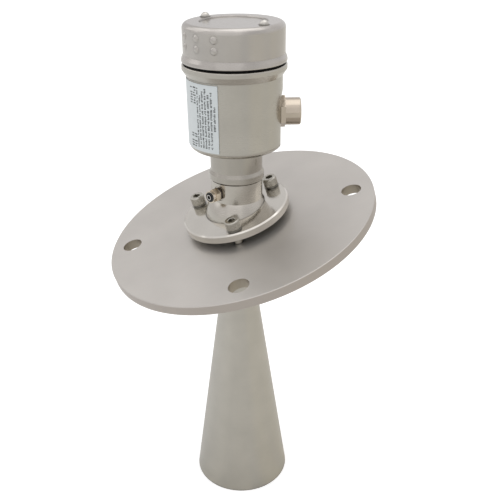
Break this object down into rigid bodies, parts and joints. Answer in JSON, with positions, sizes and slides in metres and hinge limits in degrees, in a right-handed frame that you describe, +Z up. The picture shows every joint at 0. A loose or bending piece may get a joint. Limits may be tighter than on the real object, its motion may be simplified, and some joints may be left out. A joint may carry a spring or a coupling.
{
  "type": "radar level transmitter",
  "caption": "Horn-antenna radar level transmitter with an aiming ball-joint flange, drawn steel housing and screwed lid.",
  "frame": {"origin": "centre of the open end of the horn, in its end plane", "axes": "+Z up the instrument axis towards the lid, +X along the cable entry; the flange leans 16.88 degrees at rest"},
  "size_m": [0.2428, 0.2494, 0.4702],
  "materials": {
    "flange_steel": "satin brushed stainless steel plate",
    "ring_steel": "fine turned stainless steel",
    "screw_steel": "stainless steel fastener",
    "seat_black": "black carbon-filled PTFE",
    "neck_steel": "smooth turned stainless steel",
    "horn_steel": "satin stainless steel",
    "seal_rubber": "black rubber",
    "emitter_ptfe": "white PTFE",
    "guide_nickel": "silver-plated brass tube",
    "fitting_nickel": "bright nickel-plated brass",
    "collet_black": "black plastic",
    "spring_steel": "spring steel",
    "socket_steel": "smooth turned stainless steel",
    "can_steel": "drawn stainless steel, satin",
    "thread_steel": "turned stainless steel",
    "nameplate_foil": null,
    "adapter_nickel": "bright nickel-plated brass",
    "module_metal": "machined aluminium",
    "cup_plastic": "black glass-filled plastic",
    "board_green": "green circuit board",
    "capacitor_sleeve": "dark blue sleeve",
    "terminal_grey": "grey terminal plastic",
    "display_bezel": "dark plastic",
    "display_glass": "grey-green display window",
    "lid_steel": "drawn stainless steel, satin",
    "stud_steel": "bright stainless steel"
  },
  "bodies": {
    "flange": {"flange_plate": "flange_steel", "clamp_ring": "ring_steel", "clamp_screws": "screw_steel", "spring_washers": "spring_steel"},
    "seat": {"seat_ring": "seat_black"},
    "neck": {"ball_neck": "neck_steel", "horn": "horn_steel", "horn_seal": "seal_rubber", "horn_emitter": "emitter_ptfe", "waveguide": "guide_nickel", "purge_fitting": "fitting_nickel", "purge_washer": "fitting_nickel", "purge_seal": "seal_rubber", "purge_insert": "screw_steel", "neck_seal": "seal_rubber", "retaining_clip": "spring_steel"},
    "collet": {"purge_collet": "collet_black"},
    "enclosure": {"neck_socket": "socket_steel", "housing_can": "can_steel", "thread_ring": "thread_steel", "nameplate": "nameplate_foil", "cable_adapter": "adapter_nickel", "adapter_washer": "seal_rubber", "adapter_nut": "adapter_nickel", "radar_module": "module_metal", "electronics_cup": "cup_plastic", "module_screws": "screw_steel", "main_board": "board_green", "power_board": "board_green", "board_spacers": "module_metal", "capacitors": "capacitor_sleeve", "module_cover": "cup_plastic", "terminal_block": "terminal_grey", "terminal_screws": "screw_steel", "display_module": "display_bezel", "display_glass": "display_glass", "ground_screw": "screw_steel"},
    "seal": {"lid_seal": "seal_rubber"},
    "lid": {"lid": "lid_steel", "lid_studs": "stud_steel"}
  },
  "joints": [
    {"name": "aim_swivel", "type": "hinge", "parent": "flange", "child": "seat", "pos_m": [0, 0, 0.297], "axis": [-0.2702, -0.1064, 0.9569], "continuous": true},
    {"name": "aim_tilt", "type": "hinge", "parent": "seat", "child": "neck", "pos_m": [0, 0, 0.297], "axis": [0.3665, -0.9304, 0], "range_deg": [-1.1, 16.88]},
    {"name": "collet_push", "type": "slide", "parent": "neck", "child": "collet", "axis": [-0.6947, -0.7193, 0], "range_m": [-0.0012, 0], "stiffness_N_per_m": 800},
    {"name": "housing_turn", "type": "hinge", "parent": "neck", "child": "enclosure", "pos_m": [0, 0, 0.332], "axis": [0, 0, 1], "range_deg": [-165, 165]},
    {"name": "lid_turn", "type": "hinge", "parent": "enclosure", "child": "seal", "pos_m": [0, 0, 0.4333], "axis": [0, 0, 1], "range_deg": [0, 1530]},
    {"name": "lid_lift", "type": "slide", "parent": "seal", "child": "lid", "axis": [0, 0, 1], "range_m": [0, 0.0128]}
  ],
  "couplings": [
    {"joint": "lid_lift", "follows": "lid_turn", "m_per_rad": 0.00047746}
  ]
}
